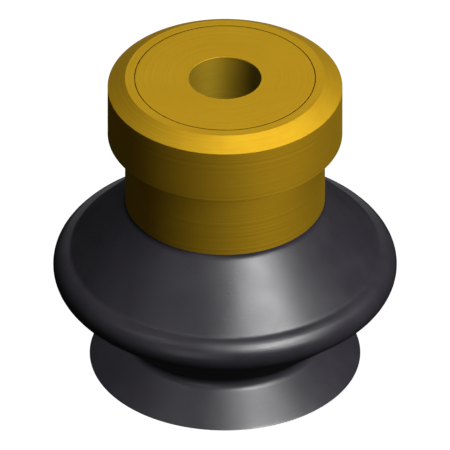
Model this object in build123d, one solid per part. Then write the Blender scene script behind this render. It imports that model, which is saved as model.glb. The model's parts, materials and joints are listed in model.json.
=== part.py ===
from build123d import *
from math import acos, atan2, cos, degrees, radians, sin
import os

# Bellows suction cup: a moulded rubber cup of one and a half folds on a turned brass fitting.
# The axis is Z, the lip's edge lies on z = 0, and every outline is drawn as (radius, height).
# Lengths are in millimetres, slopes in degrees from the horizontal.

# Outside of the rubber cup, from the lip up to the fitting
lip_radius = 16.0
lip_slope = 34.8
waist_radius = 11.53
groove_radius = 1.0
underside_slope = 41.8
bead_outer_radius = 20.25
bead_radius = 2.1
bead_rise = 0.51
bead_fillet = 1.0
upper_slope = 47.5
neck_fillet = 0.75

# Inside of the rubber cup
lip_land = 0.5
lower_wall = 1.5
upper_wall = 1.8
fold_radius = 1.0
hub_thickness = 2.4
hub_fillet = 0.6

# Brass fitting: a collar bonded round a bored core, both faced flush at the top
neck_radius = 11.78
neck_length = 9.2
flange_overhang = 2.06
flange_height = 8.0
chamfer_height = 1.26
collar_wall = 1.1
bore_radius = 4.283
stem_radius = 8.5
keeper_thickness = 1.5
keeper_chamfer = 0.5
edge_break = 0.05

# Clearances: the bond line between collar and core, the stem in the hub, the keeper in its corner
bond_gap = 0.06
hub_gap = 0.02
keeper_clearance = 0.3


def along(angle):
    """Unit vector at an angle in degrees, counted from the radius towards the axis."""
    return Vector(cos(radians(angle)), sin(radians(angle)))


def height_at(radius, normal, offset):
    """Height, at a radius, of the straight wall that lies an offset along its normal."""
    return (offset - normal.X * radius) / normal.Y


def radius_at(height, normal, offset):
    """Radius, at a height, of the straight wall that lies an offset along its normal."""
    return (offset - normal.Y * height) / normal.X


def crossing(first, first_offset, second, second_offset):
    """Point where two straight walls cross, each given by its normal and its offset."""
    turn = first.X * second.Y - first.Y * second.X
    radius = (first_offset * second.Y - second_offset * first.Y) / turn
    height = (first.X * second_offset - second.X * first_offset) / turn
    return Vector(radius, height)


def arc(centre, radius, start, end):
    """Arc about a centre, from one angle in degrees to another."""
    return CenterArc(centre, radius, start, end - start)


def turned(outline):
    """Solid turned about the axis from a closed outline of (radius, height)."""
    return revolve(Plane.XZ * make_face(outline), Axis.Z)


# The three straight walls of the cup: each one's outward angle, normal and offset.
# The lip's wall ends at the lip's edge. The waist groove is tangent to it.
lip_angle = 90 - lip_slope
lip_normal = along(lip_angle)
lip_offset = lip_normal.X * lip_radius
groove_r = waist_radius + groove_radius
groove_centre = Vector(groove_r, height_at(groove_r, lip_normal, lip_offset + groove_radius))

# The underside leaves the groove at a tangent, and the bead is tangent to the underside.
under_angle = underside_slope - 90
under_normal = along(under_angle)
under_offset = under_normal.dot(groove_centre) - groove_radius
bead_r = bead_outer_radius - bead_radius
bead_centre = Vector(bead_r, height_at(bead_r, under_normal, under_offset - bead_radius))

# The bead stands proud of the upper wall by its rise, and a fillet blends the two.
upper_angle = 90 - upper_slope
upper_normal = along(upper_angle)
upper_offset = upper_normal.dot(bead_centre) + bead_radius - bead_rise
blend_reach = bead_radius + bead_fillet
blend_angle = upper_angle + degrees(acos(1 - bead_rise / blend_reach))
blend_centre = bead_centre + along(blend_angle) * blend_reach

# The upper wall turns up into the neck by a fillet, which ends at the fitting's foot.
foot_r = neck_radius + neck_fillet
foot_height = height_at(foot_r, upper_normal, upper_offset + neck_fillet)
foot_centre = Vector(foot_r, foot_height)

# Heights of the fitting, and of the hub that its keeper holds from inside the cup
hub_underside = foot_height - hub_thickness
keeper_foot = hub_underside - keeper_thickness
flange_foot = foot_height + neck_length
top = flange_foot + flange_height
flange_radius = neck_radius + flange_overhang
collar_bore = neck_radius - collar_wall
core_radius = collar_bore - bond_gap
hub_bore = stem_radius + hub_gap

# Inner faces of the walls, and the flat under the hub, which ends where its fillet starts
under_inner = under_offset - lower_wall
upper_inner = upper_offset - upper_wall
hub_drop = hub_underside - hub_fillet
hub_flat_radius = radius_at(hub_drop, upper_normal, upper_inner - hub_fillet)
hub_centre = Vector(hub_flat_radius, hub_drop)
keeper_radius = hub_flat_radius - keeper_clearance


def bellows_cup():
    """Rubber moulding: lip, waist, fold with its bead, upper cone and the hub round the stem."""
    # Outside, from the lip's edge up to the fitting
    groove = arc(groove_centre, groove_radius, lip_angle + 180, under_angle + 180)
    bead = arc(bead_centre, bead_radius, under_angle, blend_angle)
    blend = arc(blend_centre, bead_fillet, blend_angle + 180, upper_angle + 180)
    foot = arc(foot_centre, neck_fillet, upper_angle + 180, 180)
    lip_edge = Vector(lip_radius, 0)
    outside = [Line(lip_edge, groove @ 0), groove, Line(groove @ 1, bead @ 0), bead, blend]
    outside += [Line(blend @ 1, foot @ 0), foot]

    # Hub, held between the fitting's shoulder and its keeper
    hub_top = Vector(hub_bore, foot_height)
    hub_foot = Vector(hub_bore, hub_underside)
    hub = [Line(foot @ 1, hub_top), Line(hub_top, hub_foot), Line(hub_foot, hub_centre + (0, hub_fillet))]

    # Inside, from the hub down to the lip's flat land
    corner = arc(hub_centre, hub_fillet, 90, upper_angle)
    fold_centre = crossing(upper_normal, upper_inner - fold_radius, under_normal, under_inner - fold_radius)
    fold = arc(fold_centre, fold_radius, upper_angle, under_angle)
    land_edge = Vector(lip_radius - lip_land, 0)
    land_way = land_edge - groove_centre
    waist_bend = groove_radius + lower_wall
    land_angle = degrees(atan2(land_way.Y, land_way.X) - acos(waist_bend / land_way.length))
    waist = arc(groove_centre, waist_bend, under_angle + 180, land_angle + 360)
    inside = [corner, Line(corner @ 1, fold @ 0), fold, Line(fold @ 1, waist @ 0), waist]
    inside += [Line(waist @ 1, land_edge), Line(land_edge, lip_edge)]
    return turned(outside + hub + inside)


def flanged_collar():
    """Brass ring: the neck, and above it the flange with its broad chamfer."""
    outline = Polyline(
        (collar_bore, top),
        (neck_radius, top),
        (flange_radius, top - chamfer_height),
        (flange_radius, flange_foot + edge_break),
        (flange_radius - edge_break, flange_foot),
        (neck_radius, flange_foot),
        (neck_radius, foot_height),
        (collar_bore, foot_height),
        close=True,
    )
    return turned(outline.edges())


def bored_core():
    """Brass core: the bored head in the collar, the stem in the hub and the keeper below it."""
    outline = Polyline(
        (bore_radius + edge_break, top),
        (core_radius, top),
        (core_radius, foot_height),
        (stem_radius, foot_height),
        (stem_radius, hub_underside),
        (keeper_radius, hub_underside),
        (keeper_radius, keeper_foot + keeper_chamfer),
        (keeper_radius - keeper_chamfer, keeper_foot),
        (bore_radius, keeper_foot),
        (bore_radius, top - edge_break),
        close=True,
    )
    return turned(outline.edges())


os.makedirs("parts", exist_ok=True)
for piece in (bellows_cup, flanged_collar, bored_core):
    export_step(piece(), f"parts/{piece.__name__}.step")

print(f"foot {foot_height:.3f}, hub underside {hub_underside:.3f}, keeper foot {keeper_foot:.3f}")
print(f"flange foot {flange_foot:.3f}, top {top:.3f}, bead {bead_centre.X:.3f} {bead_centre.Y:.3f}")
print(f"keeper radius {keeper_radius:.3f}, core radius {core_radius:.3f}")
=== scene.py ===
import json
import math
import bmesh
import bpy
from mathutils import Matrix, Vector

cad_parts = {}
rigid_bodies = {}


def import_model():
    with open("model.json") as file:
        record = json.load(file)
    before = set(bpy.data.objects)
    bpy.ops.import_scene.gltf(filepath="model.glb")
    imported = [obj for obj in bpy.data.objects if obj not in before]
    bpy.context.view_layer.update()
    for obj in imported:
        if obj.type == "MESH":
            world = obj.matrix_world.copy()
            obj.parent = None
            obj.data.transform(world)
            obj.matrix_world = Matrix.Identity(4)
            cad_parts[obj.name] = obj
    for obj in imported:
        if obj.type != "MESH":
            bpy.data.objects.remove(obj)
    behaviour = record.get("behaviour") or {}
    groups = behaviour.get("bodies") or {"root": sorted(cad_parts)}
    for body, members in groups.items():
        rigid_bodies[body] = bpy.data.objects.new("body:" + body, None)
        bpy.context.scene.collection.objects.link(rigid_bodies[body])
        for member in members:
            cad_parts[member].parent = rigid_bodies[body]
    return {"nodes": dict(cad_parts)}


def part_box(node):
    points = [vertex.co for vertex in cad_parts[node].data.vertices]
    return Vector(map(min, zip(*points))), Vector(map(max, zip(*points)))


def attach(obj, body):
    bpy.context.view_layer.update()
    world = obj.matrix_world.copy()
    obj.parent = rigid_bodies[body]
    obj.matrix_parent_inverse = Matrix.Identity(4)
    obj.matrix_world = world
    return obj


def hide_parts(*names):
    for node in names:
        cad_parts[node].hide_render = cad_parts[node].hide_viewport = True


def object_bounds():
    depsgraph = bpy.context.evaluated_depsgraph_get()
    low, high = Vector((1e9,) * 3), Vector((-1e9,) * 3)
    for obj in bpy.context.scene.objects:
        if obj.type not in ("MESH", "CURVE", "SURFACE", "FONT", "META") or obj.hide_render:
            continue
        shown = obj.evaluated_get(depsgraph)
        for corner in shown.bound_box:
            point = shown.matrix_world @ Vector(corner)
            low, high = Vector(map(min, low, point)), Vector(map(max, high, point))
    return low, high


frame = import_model()

# %% [markdown]
# A bellows suction cup has two halves. Below is a soft black bellows, moulded in rubber: a
# thin flared lip, a waist, one fold with a round bead, and a cone that closes on a stem.
# Above is a round brass fitting in two turned pieces: a collar with a chamfered flange, and
# a core with the air port through it.
#
# The measured solids are already loaded. The brass pieces are rigid and have their true
# shape, so they stay and only get their metal. The bellows is the soft piece, and it is
# modelled here as a smooth mesh. Blender works in metres, and everything is in the same place
# as the solids. The cup's own sizes are written in millimetres and degrees, as on a drawing,
# and those of the studio round it in metres.

MM = 0.001
bpy.context.view_layer.update()
solid_low, solid_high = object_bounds()
solid_size = [round(side / MM, 2) for side in solid_high - solid_low]
print("the solids measure", solid_size, "mm")

# %% [markdown]
# The section of the bellows is what one sees when the cup is cut in half: a thin ribbon of
# rubber that runs from the lip's edge up to the stem and back down inside. It could be built
# from a stack of rings, or sculpted. But the real mould is turned on a lathe, so the piece is
# fully described by this one section and an axis. That way the slopes and radii are the
# drawing's own numbers, and the fold can't come out uneven. The widest point and the foot of
# the brass are asked of the solids, so the bellows always fits them.

# %% Sizes of the outside, from the lip up to the brass
bellows_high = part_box("bellows_cup")[1]
collar_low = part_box("flanged_collar")[0]
LIP_RADIUS = 16.0
LIP_SLOPE = 34.8
WAIST_RADIUS = 11.53
GROOVE_RADIUS = 1.0
UNDERSIDE_SLOPE = 41.8
BEAD_REACH = bellows_high.x / MM
BEAD_RADIUS = 2.1
BEAD_FILLET = 1.0
UPPER_SLOPE = 47.5
NECK_RADIUS = 11.78
NECK_FILLET = 1.0
BRASS_FOOT = collar_low.z / MM
print("the bead reaches out to", round(BEAD_REACH, 2), "mm")
print("the brass starts at a height of", round(BRASS_FOOT, 2), "mm")

# %% Sizes of the inside and of the hub round the stem
LIP_LAND = 0.5
LIP_ROUND = 0.1
LOWER_WALL = 1.5
UPPER_WALL = 1.8
FOLD_RADIUS = 1.0
HUB_THICKNESS = 2.4
HUB_FILLET = 0.6
HUB_BORE = 8.52
print("the rubber is", LOWER_WALL, "mm thick below the fold and", UPPER_WALL, "mm above")


# %% Helpers for straight walls: each is known by its outward normal and its offset
def along(angle):
    """Unit vector in the section's plane, at an angle in degrees from the radius upwards."""
    return Vector((math.cos(math.radians(angle)), 0, math.sin(math.radians(angle))))


def on_wall(radius, normal, offset):
    """Point of a straight wall at a radius."""
    return Vector((radius, 0, (offset - normal.x * radius) / normal.z))


def on_both(first, first_offset, second, second_offset):
    """Point where two straight walls cross."""
    turn = first.x * second.z - first.z * second.x
    radius = (first_offset * second.z - second_offset * first.z) / turn
    height = (first.x * second_offset - second.x * first_offset) / turn
    return Vector((radius, 0, height))


print("a wall that faces 30 degrees upwards has the normal", tuple(along(30)))

# %% [markdown]
# Three straight walls carry the whole outside: the lip's flare, the underside of the fold and
# the upper cone. The round parts hang on them. The waist groove touches the lip's wall and
# the underside, the bead touches the underside and stands a little proud of the cone, and two
# small fillets blend the bead and the neck into the cone.
#
# The cone could start from the bead. It hangs from the top instead: the neck fillet has to end
# exactly at the foot of the brass collar, where the rubber is pressed against the metal. The
# bead's rise over the cone then follows by itself.

# %% Lip, waist groove, underside and bead
lip_angle = 90 - LIP_SLOPE
lip_normal = along(lip_angle)
lip_offset = lip_normal.x * LIP_RADIUS
groove_centre = on_wall(WAIST_RADIUS + GROOVE_RADIUS, lip_normal, lip_offset + GROOVE_RADIUS)

under_angle = UNDERSIDE_SLOPE - 90
under_normal = along(under_angle)
under_offset = under_normal.dot(groove_centre) - GROOVE_RADIUS
bead_centre = on_wall(BEAD_REACH - BEAD_RADIUS, under_normal, under_offset - BEAD_RADIUS)
print("the waist is at", round(groove_centre.z, 2), "mm and the bead at", round(bead_centre.z, 2))

# %% Cone, neck fillet and the blend over the bead
upper_angle = 90 - UPPER_SLOPE
upper_normal = along(upper_angle)
neck_centre = Vector((NECK_RADIUS + NECK_FILLET, 0, BRASS_FOOT))
upper_offset = upper_normal.dot(neck_centre) - NECK_FILLET
bead_rise = upper_normal.dot(bead_centre) + BEAD_RADIUS - upper_offset
blend_reach = BEAD_RADIUS + BEAD_FILLET
blend_angle = upper_angle + math.degrees(math.acos(1 - bead_rise / blend_reach))
blend_centre = bead_centre + along(blend_angle) * blend_reach
print("the bead stands", round(bead_rise, 2), "mm proud of the cone")

# %% Walls and round parts of the inside
under_inner = under_offset - LOWER_WALL
upper_inner = upper_offset - UPPER_WALL
waist_bend = GROOVE_RADIUS + LOWER_WALL
fold_centre = on_both(
    upper_normal, upper_inner - FOLD_RADIUS, under_normal, under_inner - FOLD_RADIUS)
land_edge = Vector((LIP_RADIUS - LIP_LAND, 0, 0))
land_way = land_edge - groove_centre
land_lean = math.degrees(math.acos(waist_bend / land_way.length))
land_angle = math.degrees(math.atan2(land_way.z, land_way.x)) - land_lean
print("the fold turns inside at a radius of", round(fold_centre.x + FOLD_RADIUS, 2), "mm")

# %% The hub that closes on the stem
hub_underside = neck_centre.z - HUB_THICKNESS
hub_height = hub_underside - HUB_FILLET
hub_reach = (upper_inner - HUB_FILLET - upper_normal.z * hub_height) / upper_normal.x
hub_centre = Vector((hub_reach, 0, hub_height))
print("the hub lies between", round(hub_underside, 2), "and", round(neck_centre.z, 2), "mm")

# %% [markdown]
# The section is drawn as a pen would draw it. A straight wall is an edge to the next point.
# The points of a round part could be worked out one by one with sines and cosines. Here it
# starts as one vertex on its arc, and spinning that vertex about the arc's centre leaves a
# string of edges behind, so every arc is a true circle of its own radius.

# %% The pen: straight runs and bends
BEND_STEP = 9.0


def run_to(section, pen, point):
    """Draw a straight wall from the pen to a point, and return the pen's new vertex."""
    corner = section.verts.new(point)
    section.edges.new((pen, corner))
    return corner


def bend(section, pen, centre, radius, start, end):
    """Draw a straight wall to an arc, then the arc, from one angle in degrees to another."""
    pen = run_to(section, pen, centre + along(start) * radius)
    turn = math.radians(end - start)
    steps = math.ceil(abs(end - start) / BEND_STEP)
    arc = bmesh.ops.spin(
        section, geom=[pen], cent=centre, axis=(0, -1, 0), angle=turn, steps=steps)
    return arc["geom_last"][0]


print("a quarter turn is drawn in", math.ceil(90 / BEND_STEP), "steps")

# %% Draw the section: up the outside, across the hub and down the inside
SAME_POINT = 0.01
section = bmesh.new()
lip_edge = section.verts.new((LIP_RADIUS, 0, 0))
pen = bend(section, lip_edge, groove_centre, GROOVE_RADIUS, lip_angle + 180, under_angle + 180)
pen = bend(section, pen, bead_centre, BEAD_RADIUS, under_angle, blend_angle)
pen = bend(section, pen, blend_centre, BEAD_FILLET, blend_angle + 180, upper_angle + 180)
pen = bend(section, pen, neck_centre, NECK_FILLET, upper_angle + 180, 180)
hub_top = run_to(section, pen, (HUB_BORE, 0, neck_centre.z))
hub_foot = run_to(section, hub_top, (HUB_BORE, 0, hub_underside))
pen = bend(section, hub_foot, hub_centre, HUB_FILLET, 90, upper_angle)
pen = bend(section, pen, fold_centre, FOLD_RADIUS, upper_angle, under_angle)
pen = bend(section, pen, groove_centre, waist_bend, under_angle + 180, land_angle + 360)
land = run_to(section, pen, land_edge)
section.edges.new((land, lip_edge))
bmesh.ops.remove_doubles(section, verts=section.verts, dist=SAME_POINT)
print("the section has", len(section.verts), "points")

# %% [markdown]
# Moulded rubber has no knife edges: the lip's edge and the hub's corners come out of the mould
# slightly round. The roundings could be four more arcs, but a bevel on the four corners does
# the same in one step. The long straight walls are also divided, because a shaded surface is
# smoothed across each row of faces, and short rows keep that smoothing close to the bends.

# %% Round the corners
corners = [corner for corner in (lip_edge, land, hub_top, hub_foot) if corner.is_valid]
bmesh.ops.bevel(
    section, geom=corners, offset=LIP_ROUND, offset_type="OFFSET", segments=3, profile=0.5,
    affect="VERTICES", material=-1)
print(len(corners), "corners are rounded by", LIP_ROUND, "mm")

# %% Divide the long walls
WALL_STEP = 0.4
for wall in list(section.edges):
    cuts = math.ceil(wall.calc_length() / WALL_STEP) - 1
    if cuts > 0:
        bmesh.ops.subdivide_edges(section, edges=[wall], cuts=cuts)
print("the divided section has", len(section.verts), "points")

# %% [markdown]
# The section goes once round the axis, as the mould's blank did in the lathe. A Screw modifier
# would do the same and could be changed later, but the operator gives a finished mesh at once,
# with its seam welded. It takes 192 steps, so that the outline looks round from close by. A
# spin can turn a shape inside out, so the normals are worked out again. The faces are shaded
# smooth, and only edges that bend by more than 32 degrees stay crisp.

# %% Spin the section into the bellows
SPIN_STEPS = 192
SAME_SEAM = 0.001
SHARP_ANGLE = math.radians(32)
ring = section.verts[:] + section.edges[:]
bmesh.ops.spin(
    section, geom=ring, cent=(0, 0, 0), axis=(0, 0, 1), angle=math.tau, steps=SPIN_STEPS,
    use_merge=True)
bmesh.ops.remove_doubles(section, verts=section.verts, dist=SAME_SEAM)
bmesh.ops.recalc_face_normals(section, faces=section.faces)
bmesh.ops.scale(section, vec=(MM, MM, MM), verts=section.verts)
for face in section.faces:
    face.smooth = True
for edge in section.edges:
    edge.smooth = edge.calc_face_angle() < SHARP_ANGLE
open_edges = sum(not edge.is_manifold for edge in section.edges)
print("the bellows has", len(section.faces), "faces and", open_edges, "open edges")

# %% Make it a piece in the place of its solid
bellows_mesh = bpy.data.meshes.new("moulded_bellows")
section.to_mesh(bellows_mesh)
section.free()
bellows = bpy.data.objects.new("moulded_bellows", bellows_mesh)
bpy.context.scene.collection.objects.link(bellows)
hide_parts("bellows_cup")
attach(bellows, "root")
print("the bellows stands at", tuple(bellows.location))


# %% [markdown]
# Every finish starts from a colour and a handful of patterns. Colours are picked on a screen,
# as sRGB hex values, but a shader adds up light, so each one is turned to linear first. A
# pattern is a chain of nodes. Each node could be added by hand in the editor, or by three or
# four lines of its own, but one small function adds a node with its settings and links.

# %% Helpers for materials
def linear(hex_colour):
    """Linear colour, with alpha, from an sRGB hex value."""
    parts = [int(hex_colour[place:place + 2], 16) / 255 for place in (1, 3, 5)]
    return [c / 12.92 if c <= 0.04045 else ((c + 0.055) / 1.055) ** 2.4 for c in parts] + [1.0]


def new_material(name):
    """New node material and its surface shader."""
    material = bpy.data.materials.new(name)
    material.use_nodes = True
    return material, material.node_tree.nodes["Principled BSDF"]


def add_node(material, kind, inputs, **settings):
    """Add a node, give it its settings, and fill its inputs with values or other outputs."""
    node = material.node_tree.nodes.new(kind)
    for name, value in settings.items():
        setattr(node, name, value)
    for name, value in inputs.items():
        if isinstance(value, bpy.types.NodeSocket):
            material.node_tree.links.new(value, node.inputs[name])
        else:
            node.inputs[name].default_value = value
    return node


def per_metre(size_in_mm):
    """Scale that gives a pattern features of a real size, as coordinates are in metres."""
    return 1 / (size_in_mm * MM)


NOISE_LOW, NOISE_HIGH = 0.3, 0.7
print("a grey of #808080 reflects", round(linear("#808080")[0], 2), "of the light")
print("a noise node mostly stays between", NOISE_LOW, "and", NOISE_HIGH)


# %% [markdown]
# Both finishes come off a lathe: the brass is cut on one, and the rubber takes the print of a
# mould that was. A lathe tool leaves a fine groove that runs round and round the axis, so its
# marks change along the tool's path and not around the piece. On a flat face the path runs
# across the radius, and on a straight wall it runs along the axis. A pattern for each of the
# two would need a seam between them. But the difference between radius and height grows along
# both, and along a chamfer too, so one number serves the whole piece.

# %% Where a point of the surface is, as the lathe sees it
def turned_place(material):
    """Outputs for the place, the radius, the height, and the tool's path."""
    place = add_node(material, "ShaderNodeTexCoord", {}).outputs["Object"]
    parts = add_node(material, "ShaderNodeSeparateXYZ", {"Vector": place})
    flat = add_node(
        material, "ShaderNodeCombineXYZ", {"X": parts.outputs["X"], "Y": parts.outputs["Y"]})
    length = add_node(
        material, "ShaderNodeVectorMath", {0: flat.outputs["Vector"]}, operation="LENGTH")
    radius, height = length.outputs["Value"], parts.outputs["Z"]
    path = add_node(material, "ShaderNodeMath", {0: radius, 1: height}, operation="SUBTRACT")
    return {"place": place, "radius": radius, "height": height, "path": path.outputs["Value"]}


print("the path grows by", NECK_RADIUS, "mm from the axis to the neck's wall")

# %% [markdown]
# Brass: free-cutting bar, turned on a lathe and left as it comes, with no polish or lacquer.
# The fine turned grooves spread the reflection, so the metal looks satin and not like a
# mirror: a soft bright band where it faces a lamp, and a deep gold brown where it doesn't. Its
# colour is in the reflection itself, so the metal has no diffuse colour of its own.
#
# The feed of a finishing cut is about 0.1 mm for each turn, too fine for the picture. The
# grooves are drawn 0.4 mm apart, uneven as a hand-fed cut is. Handling leaves wide, faint
# patches where the metal is a little duller and browner. A photo of brass could be wrapped
# round the pieces, but it would stretch on the walls. Noise in solid space never stretches.

# %% Turned brass: the grooves and the patches
GROOVE_SPACING = 0.4
GROOVE_DEPTH = 0.02
PATCH_SIZE = 7.0

brass, brass_shader = new_material("turned_brass_bar")
on_lathe = turned_place(brass)
grooves = add_node(
    brass, "ShaderNodeTexNoise",
    {"W": on_lathe["path"], "Scale": per_metre(GROOVE_SPACING), "Detail": 3.0,
     "Roughness": 0.6},
    noise_dimensions="1D")
patches = add_node(
    brass, "ShaderNodeTexNoise",
    {"Vector": on_lathe["place"], "Scale": per_metre(PATCH_SIZE), "Detail": 4.0,
     "Roughness": 0.55})
bump = add_node(
    brass, "ShaderNodeBump",
    {"Height": grooves.outputs["Fac"], "Strength": 1.0, "Distance": GROOVE_DEPTH * MM})
print("grooves", GROOVE_SPACING, "mm apart, patches", PATCH_SIZE, "mm wide")

# %% Turned brass: how dull and how brown it is from place to place
BRASS_ROUGHNESS = 0.68
BRASS_SPREAD = 0.05
GROOVE_SHARE = 0.4
BROWN_FROM, BROWN_FULL = 0.35, 0.65
sheen = add_node(
    brass, "ShaderNodeMix",
    {"Factor": GROOVE_SHARE, "A": patches.outputs["Fac"], "B": grooves.outputs["Fac"]})
roughness = add_node(
    brass, "ShaderNodeMapRange",
    {"Value": sheen.outputs["Result"], "From Min": NOISE_LOW, "From Max": NOISE_HIGH,
     "To Min": BRASS_ROUGHNESS - BRASS_SPREAD, "To Max": BRASS_ROUGHNESS + BRASS_SPREAD})
browning = add_node(
    brass, "ShaderNodeMapRange",
    {"Value": patches.outputs["Fac"], "From Min": BROWN_FROM, "From Max": BROWN_FULL})
faced = add_node(
    brass, "ShaderNodeMix",
    {"Factor": browning.outputs["Result"], "A": linear("#F2C833"), "B": linear("#EABF2E")},
    data_type="RGBA")
print("the brass has a roughness of", BRASS_ROUGHNESS, "give or take", BRASS_SPREAD)

# %% [markdown]
# The port is drilled, and its wall is painted darker with depth: painted shade for the light
# that doesn't find its way down. It could have a material of its own on its own faces. But the
# radius and the height say enough: whatever lies closer to the axis than the port's rim is
# its wall, so one material does for the whole core.

# %% The drilled port, painted darker with depth as shade
PORT_REACH = 4.36
PORT_BRIGHT_HEIGHT = 33.5
PORT_DARK_HEIGHT = 31.0
port_shade_fade = add_node(
    brass, "ShaderNodeMapRange",
    {"Value": on_lathe["height"], "From Min": PORT_DARK_HEIGHT * MM,
     "From Max": PORT_BRIGHT_HEIGHT * MM})
# Painted shade: dark brown deep in the port, the metal's lit colour near its rim.
port_painted_shade = add_node(
    brass, "ShaderNodeMix",
    {"Factor": port_shade_fade.outputs["Result"], "A": linear("#4A3D1C"), "B": linear("#ECC93C")},
    data_type="RGBA")
in_port = add_node(
    brass, "ShaderNodeMath", {0: on_lathe["radius"], 1: PORT_REACH * MM},
    operation="LESS_THAN")
metal = add_node(
    brass, "ShaderNodeMix",
    {"Factor": in_port.outputs["Value"], "A": faced.outputs["Result"],
     "B": port_painted_shade.outputs["Result"]},
    data_type="RGBA")
print("the port gets dark over", PORT_BRIGHT_HEIGHT - PORT_DARK_HEIGHT, "mm")

# %% [markdown]
# The collar is bonded round the core, and a trace of the compound has dried dark in the joint
# on the top face. The gap is real, but at 0.06 mm it is half as wide as a pixel and comes and
# goes. It could be cut wider, which would spoil the fit, so the trace on both sides of it is
# drawn 0.11 mm wide in all.

# %% The trace in the joint
JOINT_RADIUS = 10.65
JOINT_SPREAD = 0.055
JOINT_FOOT = 39.0
joint_ring = add_node(
    brass, "ShaderNodeMath",
    {0: on_lathe["radius"], 1: JOINT_RADIUS * MM, 2: JOINT_SPREAD * MM}, operation="COMPARE")
near_top = add_node(
    brass, "ShaderNodeMath", {0: on_lathe["height"], 1: JOINT_FOOT * MM},
    operation="GREATER_THAN")
on_joint = add_node(
    brass, "ShaderNodeMath", {0: joint_ring.outputs["Value"], 1: near_top.outputs["Value"]},
    operation="MULTIPLY")
brass_colour = add_node(
    brass, "ShaderNodeMix",
    {"Factor": on_joint.outputs["Value"], "A": metal.outputs["Result"], "B": linear("#2A2110")},
    data_type="RGBA")
print("the trace is", 2 * JOINT_SPREAD, "mm wide")

# %% Join the brass together and give it to its two pieces
BRASS_PIECES = ("flanged_collar", "bored_core")
links = brass.node_tree.links
links.new(brass_colour.outputs["Result"], brass_shader.inputs["Base Color"])
links.new(roughness.outputs["Result"], brass_shader.inputs["Roughness"])
links.new(bump.outputs["Normal"], brass_shader.inputs["Normal"])
brass_shader.inputs["Metallic"].default_value = 1.0
for name in BRASS_PIECES:
    slots = frame["nodes"][name].data.materials
    slots.clear()
    slots.append(brass)
print("brass of", len(brass.node_tree.nodes), "nodes is on the", " and the ".join(BRASS_PIECES))

# %% [markdown]
# Rubber: a black nitrile or silicone compound, pressed in a turned steel mould. It is soft
# and slightly oily to look at: deep grey black where no lamp is reflected, with a broad satin
# highlight and no sparkle. Carbon black makes it dark, and the faint blue comes from the
# bloom that such compounds sweat out.
#
# The mould's own turning marks print on the rubber as rings, some 0.1 mm apart and drawn at
# 0.35 mm. The skin between them has a fine pebble of about 0.05 mm, drawn at 0.25 mm. The
# bloom lies in soft clouds a few millimetres wide, where the black turns a little greyer. All
# this could be modelled on the mesh, but that would take millions of faces for marks that are
# thinner than a hair, so two bumps are laid one over the other.

# %% Pressed rubber: the rings, the pebble and the bloom
RING_SPACING = 0.35
RING_DEPTH = 0.006
PEBBLE_SIZE = 0.25
PEBBLE_DEPTH = 0.008
BLOOM_SIZE = 5.0

rubber, rubber_shader = new_material("pressed_black_rubber")
on_mould = turned_place(rubber)
rings = add_node(
    rubber, "ShaderNodeTexNoise",
    {"W": on_mould["path"], "Scale": per_metre(RING_SPACING), "Detail": 2.0, "Roughness": 0.5},
    noise_dimensions="1D")
pebble = add_node(
    rubber, "ShaderNodeTexNoise",
    {"Vector": on_mould["place"], "Scale": per_metre(PEBBLE_SIZE), "Detail": 2.0,
     "Roughness": 0.6})
bloom = add_node(
    rubber, "ShaderNodeTexNoise",
    {"Vector": on_mould["place"], "Scale": per_metre(BLOOM_SIZE), "Detail": 5.0,
     "Roughness": 0.6})
ring_bump = add_node(
    rubber, "ShaderNodeBump",
    {"Height": rings.outputs["Fac"], "Strength": 1.0, "Distance": RING_DEPTH * MM})
skin_bump = add_node(
    rubber, "ShaderNodeBump",
    {"Height": pebble.outputs["Fac"], "Strength": 1.0, "Distance": PEBBLE_DEPTH * MM,
     "Normal": ring_bump.outputs["Normal"]})
print("rings", RING_SPACING, "mm apart, pebble", PEBBLE_SIZE, "mm, bloom", BLOOM_SIZE, "mm")

# %% Pressed rubber: colour and gloss
RUBBER_ROUGHNESS = 0.36
RUBBER_SPREAD = 0.05
RUBBER_IOR = 1.52
RUBBER_SHINE = 0.95
cloud = add_node(
    rubber, "ShaderNodeMapRange",
    {"Value": bloom.outputs["Fac"], "From Min": NOISE_LOW, "From Max": NOISE_HIGH})
rubber_colour = add_node(
    rubber, "ShaderNodeMix",
    {"Factor": cloud.outputs["Result"], "A": linear("#36343B"), "B": linear("#3E3C43")},
    data_type="RGBA")
rubber_gloss = add_node(
    rubber, "ShaderNodeMapRange",
    {"Value": bloom.outputs["Fac"], "From Min": NOISE_LOW, "From Max": NOISE_HIGH,
     "To Min": RUBBER_ROUGHNESS - RUBBER_SPREAD, "To Max": RUBBER_ROUGHNESS + RUBBER_SPREAD})
rubber_shader.inputs["IOR"].default_value = RUBBER_IOR
rubber_shader.inputs["Specular IOR Level"].default_value = RUBBER_SHINE
print("the rubber has a roughness of", RUBBER_ROUGHNESS, "give or take", RUBBER_SPREAD)

# %% Join the rubber together and give it to the bellows
links = rubber.node_tree.links
links.new(rubber_colour.outputs["Result"], rubber_shader.inputs["Base Color"])
links.new(rubber_gloss.outputs["Result"], rubber_shader.inputs["Roughness"])
links.new(skin_bump.outputs["Normal"], rubber_shader.inputs["Normal"])
for mesh in (bellows_mesh, frame["nodes"]["bellows_cup"].data):
    mesh.materials.clear()
    mesh.materials.append(rubber)
print("rubber of", len(rubber.node_tree.nodes), "nodes is on the bellows and on its solid")
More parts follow.
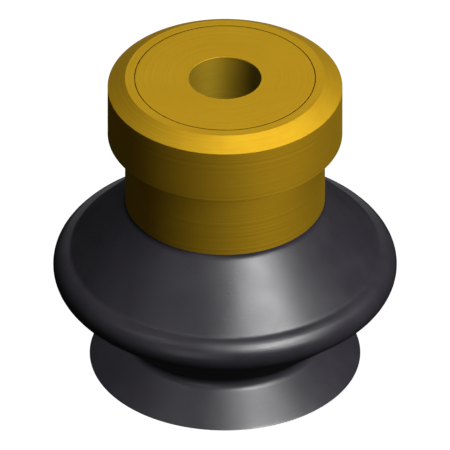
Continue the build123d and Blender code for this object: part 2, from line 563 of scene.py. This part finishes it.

# %% [markdown]
# The cup stands on a plain sheet of white paper, which lies a hair below the lip, so that the
# two never share a plane. Strong lamps could burn the paper out to white, but they would spill
# on the cup. It glows a little by itself instead, which keeps the ground even. It has no glow
# inside the lip, which paints the cup's shadow there, so the port shows dark paper and not a
# white disc. And it is kept out of reflections, so the underside of the fold stays as dark as
# it is over a dark bench.

# %% Floor
FLOOR_SIDE = 3.0
FLOOR_DROP = 0.01
floor_mesh = bpy.data.meshes.new("floor")
sheet = bmesh.new()
bmesh.ops.create_grid(sheet, x_segments=1, y_segments=1, size=FLOOR_SIDE / 2)
bmesh.ops.translate(sheet, vec=(0, 0, -FLOOR_DROP * MM), verts=sheet.verts)
sheet.to_mesh(floor_mesh)
sheet.free()
floor = bpy.data.objects.new("floor", floor_mesh)
bpy.context.scene.collection.objects.link(floor)
floor.visible_glossy = False
floor.visible_diffuse = False
print("the floor is", FLOOR_SIDE, "m wide and lies", FLOOR_DROP, "mm below the lip")

# %% White paper
PAPER_GLOW = 1.05
PAPER_ROUGHNESS = 0.9
paper, paper_shader = new_material("white_paper")
paper_shader.inputs["Base Color"].default_value = linear("#F2F2F2")
paper_shader.inputs["Roughness"].default_value = PAPER_ROUGHNESS
paper_shader.inputs["Emission Color"].default_value = linear("#FFFFFF")
# Painted shadow: the glow fades to nothing inside the lip, so the paper under the cup stays dark.
paper_glow_with_painted_shadow = add_node(
    paper, "ShaderNodeMapRange",
    {"Value": turned_place(paper)["radius"], "From Min": (LIP_RADIUS - LIP_LAND) * MM,
     "From Max": LIP_RADIUS * MM, "To Max": PAPER_GLOW})
paper.node_tree.links.new(paper_glow_with_painted_shadow.outputs["Result"], paper_shader.inputs["Emission Strength"])
floor_mesh.materials.append(paper)
print("the paper glows from a radius of", LIP_RADIUS, "mm outwards")

# %% [markdown]
# Soft light comes from large panels. Each panel is placed by where it stands round the cup, how
# high it is and how wide it looks from there, and its strength is the light that arrives at
# the cup, so it can be moved or widened without changing the exposure.
#
# Shiny brass and black rubber want their lamps in different places. A photographer keeps a
# lamp off one of them with a black card. Here each lamp is linked to the pieces that it lights.

# %% The pieces that each group of lamps lights
on_brass = bpy.data.collections.new("lit_with_the_brass")
for name in BRASS_PIECES:
    on_brass.objects.link(frame["nodes"][name])
on_rubber = bpy.data.collections.new("lit_with_the_rubber")
on_rubber.objects.link(bellows)

# %% [markdown]
# A panel may do without its shadow, where a form in front would hide what has to be lit. Then
# no ray may find it by chance either, because the form in front would stop that ray, so the
# panel is sampled directly and in no other way. A panel may also give only its reflection.

# %% How a panel is placed
LIGHT_DISTANCE = 0.4
AIM_HEIGHT = 18.0
MIDDLE = Vector((0, 0, AIM_HEIGHT * MM))


def direction(ring_angle, elevation):
    """Unit vector, with the ring angle counted from the right towards the camera."""
    turn, rise = math.radians(ring_angle), math.radians(elevation)
    flat = math.cos(rise)
    return Vector((math.cos(turn) * flat, -math.sin(turn) * flat, math.sin(rise)))


def across(view_angle):
    """Real width of a panel that looks as wide as an angle from the cup."""
    return 2 * LIGHT_DISTANCE * math.tan(math.radians(view_angle / 2))


def panel(name, lit, ring_angle, elevation, width, height, strength,
          casts_shadow=True, spreads=True):
    """Soft panel round the cup. All of its angles and its width and height are in degrees."""
    light = bpy.data.lights.new(name, "AREA")
    light.shape = "RECTANGLE"
    light.size = across(width)
    light.size_y = across(height)
    light.energy = strength * math.pi * LIGHT_DISTANCE ** 2
    light.use_shadow = casts_shadow
    light.cycles.use_multiple_importance_sampling = casts_shadow
    lamp = bpy.data.objects.new(name, light)
    way = direction(ring_angle, elevation)
    lamp.location = MIDDLE + way * LIGHT_DISTANCE
    lamp.rotation_mode = "QUATERNION"
    lamp.rotation_quaternion = way.to_track_quat("Z", "Y")
    lamp.visible_diffuse = spreads
    lamp.light_linking.receiver_collection = lit
    bpy.context.scene.collection.objects.link(lamp)
    print(name, "is", round(light.size, 2), "m wide and", round(lamp.location.z, 2), "m up")


# %% [markdown]
# The brass has its key at the front right. One low panel under it fills the upright walls and,
# without a shadow, reaches down into the port. A weak one in front keeps the left of the walls
# from going black. A panel overhead and one at the right behind fall on the flat top and the
# chamfer. The last two are faint, and open up the shaded left and the back.

# %% Lamps for the brass
panel("brass_key", on_brass, 45, 40, 20, 20, 0.52)
panel("brass_low", on_brass, 45, 17, 20, 16, 1.1, casts_shadow=False)
panel("brass_front", on_brass, 85, 12, 20, 14, 0.18, casts_shadow=False)
panel("brass_overhead", on_brass, 0, 85, 24, 24, 1.08)
panel("brass_right", on_brass, -20, 60, 24, 24, 0.66)
panel("brass_left", on_brass, -150, 40, 24, 24, 0.06)
panel("brass_back", on_brass, -90, 4, 40, 20, 0.07)

# %% [markdown]
# The rubber's highlight is one broad streak down the cone, across the bead and down the lip.
# One large panel would draw a streak with hard ends. Five close together fade at the edges,
# and two weak ones lift the left and the right side. They cast no shadow, because the fold
# would hide the lip from them, and the lip is to be lit like the cone.
#
# Low at the front left stands a panel that gives only its reflection, for the second, faint
# highlight on the bead. A weak panel behind draws the shape for a viewer on that side.

# %% Lamps for the rubber
panel("rubber_key", on_rubber, 45, 54, 20, 20, 0.88, casts_shadow=False)
panel("rubber_near", on_rubber, 60, 45, 20, 20, 0.85, casts_shadow=False)
panel("rubber_far", on_rubber, 30, 55, 20, 20, 0.27, casts_shadow=False)
panel("rubber_high", on_rubber, 45, 70, 20, 20, 0.38, casts_shadow=False)
panel("rubber_low", on_rubber, 45, 30, 20, 20, 0.48, casts_shadow=False)
panel("rubber_left", on_rubber, 150, 54, 24, 24, 0.09, casts_shadow=False)
panel("rubber_right", on_rubber, 0, 40, 24, 24, 0.06, casts_shadow=False)
panel("rubber_glint", on_rubber, 112, 7, 28, 36, 0.15, casts_shadow=False, spreads=False)
panel("rubber_back", on_rubber, -90, 4, 40, 20, 0.1)

# %% [markdown]
# Brass that mirrors brass gets redder with each bounce, and the port would glow like copper.
# So the pieces are kept out of each other's reflections, as a product photographer does with
# black paper. And an even breath of light from all round keeps the shaded places from going
# quite black. A picture of a room could give it, but its windows would show in the metal.

# %% Reflections and the light from all round
SURROUNDING_LIGHT = 0.008
for piece in (bellows, *on_brass.objects):
    piece.visible_glossy = False
world = bpy.data.worlds.new("studio")
world.use_nodes = True
surroundings = world.node_tree.nodes["Background"]
surroundings.inputs["Color"].default_value = linear("#FFFFFF")
surroundings.inputs["Strength"].default_value = SURROUNDING_LIGHT
bpy.context.scene.world = world
print("the light from all round has a strength of", SURROUNDING_LIGHT)

# %% [markdown]
# The view is isometric: a long lens so far away that parallel lines stay parallel, looking
# down so that all three axes are foreshortened alike. Circles become ellipses 0.577 as high
# as they are wide. A real long lens would come close to it, but an orthographic camera is
# exact, and its scale is simply the width of the picture.

# %% Camera
PICTURE_PIXELS = 450
PIXEL_SIZE = 0.1178
PICTURE_WIDTH = PICTURE_PIXELS * PIXEL_SIZE
VIEW_CENTRE = 18.39
CAMERA_DISTANCE = 0.3
isometric = math.degrees(math.asin(1 / math.sqrt(3)))
camera_data = bpy.data.cameras.new("camera")
camera_data.type = "ORTHO"
camera_data.ortho_scale = PICTURE_WIDTH * MM
camera = bpy.data.objects.new("camera", camera_data)
back = direction(90, isometric)
camera.location = Vector((0, 0, VIEW_CENTRE * MM)) + back * CAMERA_DISTANCE
camera.rotation_mode = "QUATERNION"
camera.rotation_quaternion = back.to_track_quat("Z", "Y")
bpy.context.scene.collection.objects.link(camera)
bpy.context.scene.camera = camera
bpy.context.scene.view_settings.view_transform = "Standard"
print("the camera looks down by", round(isometric, 2), "degrees on", round(PICTURE_WIDTH, 1), "mm")
